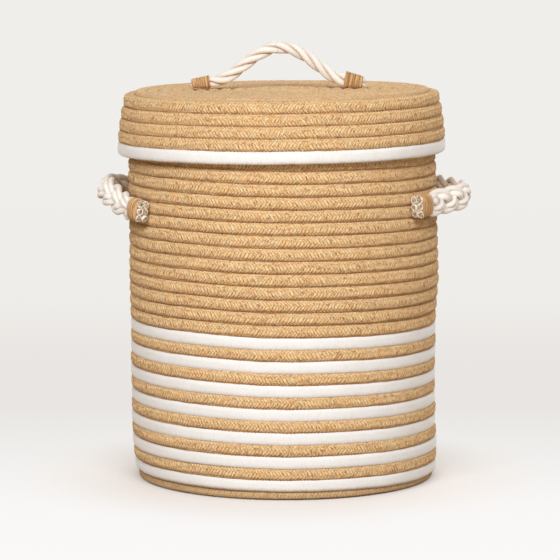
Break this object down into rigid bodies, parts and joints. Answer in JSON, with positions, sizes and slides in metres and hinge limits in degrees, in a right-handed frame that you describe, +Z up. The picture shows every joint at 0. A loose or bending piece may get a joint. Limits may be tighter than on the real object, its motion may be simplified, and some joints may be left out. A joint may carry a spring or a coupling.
{
  "type": "rope laundry basket",
  "caption": "Round laundry basket of coiled jute rope with white cotton rope stripes, plaited side handles and a lift-off coiled lid with a rope handle.",
  "frame": {"origin": "centre of the basket's round floor, on the surface that it stands on", "axes": "+Z up along the basket's axis; the side handles stand out along -X (left) and +X (right); -Y is the front"},
  "size_m": [0.4608, 0.4006, 0.5417],
  "materials": {
    "jute_rope": "braided jute, matt and hairy",
    "cotton_rope": "smooth white cotton rope",
    "jute_twine": "fine jute twine"
  },
  "bodies": {
    "basket": {"base_coil": "jute_rope", "white_turn_1": "cotton_rope", "white_turn_2": "cotton_rope", "white_turn_3": "cotton_rope", "white_turn_4": "cotton_rope", "white_turn_5": "cotton_rope", "white_turn_6": "cotton_rope", "white_turn_7": "cotton_rope", "jute_turn_1": "jute_rope", "jute_turn_2": "jute_rope", "jute_turn_3": "jute_rope", "jute_turn_4": "jute_rope", "jute_turn_5": "jute_rope", "jute_turn_6": "jute_rope", "wall_coil": "jute_rope", "left_handle_front_rope_end": "cotton_rope", "left_handle_rear_rope_end": "cotton_rope", "right_handle_front_rope_end": "cotton_rope", "right_handle_rear_rope_end": "cotton_rope", "left_handle_front_whipping": "jute_twine", "left_handle_rear_whipping": "jute_twine", "right_handle_front_whipping": "jute_twine", "right_handle_rear_whipping": "jute_twine"},
    "lid": {"lid_top_coil": "jute_rope", "lid_skirt_coil": "jute_rope", "lid_rim_turn": "cotton_rope", "lid_handle_left_rope_end": "cotton_rope", "lid_handle_right_rope_end": "cotton_rope", "lid_handle_left_whipping": "jute_twine", "lid_handle_right_whipping": "jute_twine"},
    "left_handle": {"left_handle_strand_1": "cotton_rope", "left_handle_strand_2": "cotton_rope", "left_handle_strand_3": "cotton_rope"},
    "right_handle": {"right_handle_strand_1": "cotton_rope", "right_handle_strand_2": "cotton_rope", "right_handle_strand_3": "cotton_rope"},
    "lid_handle": {"lid_handle_strand_1": "cotton_rope", "lid_handle_strand_2": "cotton_rope", "lid_handle_strand_3": "cotton_rope"}
  },
  "joints": [
    {"name": "lid_lift", "type": "slide", "parent": "basket", "child": "lid", "axis": [0, 0, 1], "range_m": [0, 0.25]},
    {"name": "left_handle_swing", "type": "hinge", "parent": "basket", "child": "left_handle", "pos_m": [-0.1944, 0, 0.346], "axis": [0, 1, 0], "range_deg": [-70, 40], "stiffness_Nm_per_rad": 0.05},
    {"name": "right_handle_swing", "type": "hinge", "parent": "basket", "child": "right_handle", "pos_m": [0.1944, 0, 0.349], "axis": [0, -1, 0], "range_deg": [-55, 55], "stiffness_Nm_per_rad": 0.05},
    {"name": "lid_handle_swing", "type": "hinge", "parent": "lid", "child": "lid_handle", "pos_m": [-0.006, 0, 0.49075], "axis": [1, 0, 0], "range_deg": [-85, 85], "stiffness_Nm_per_rad": 0.05}
  ]
}
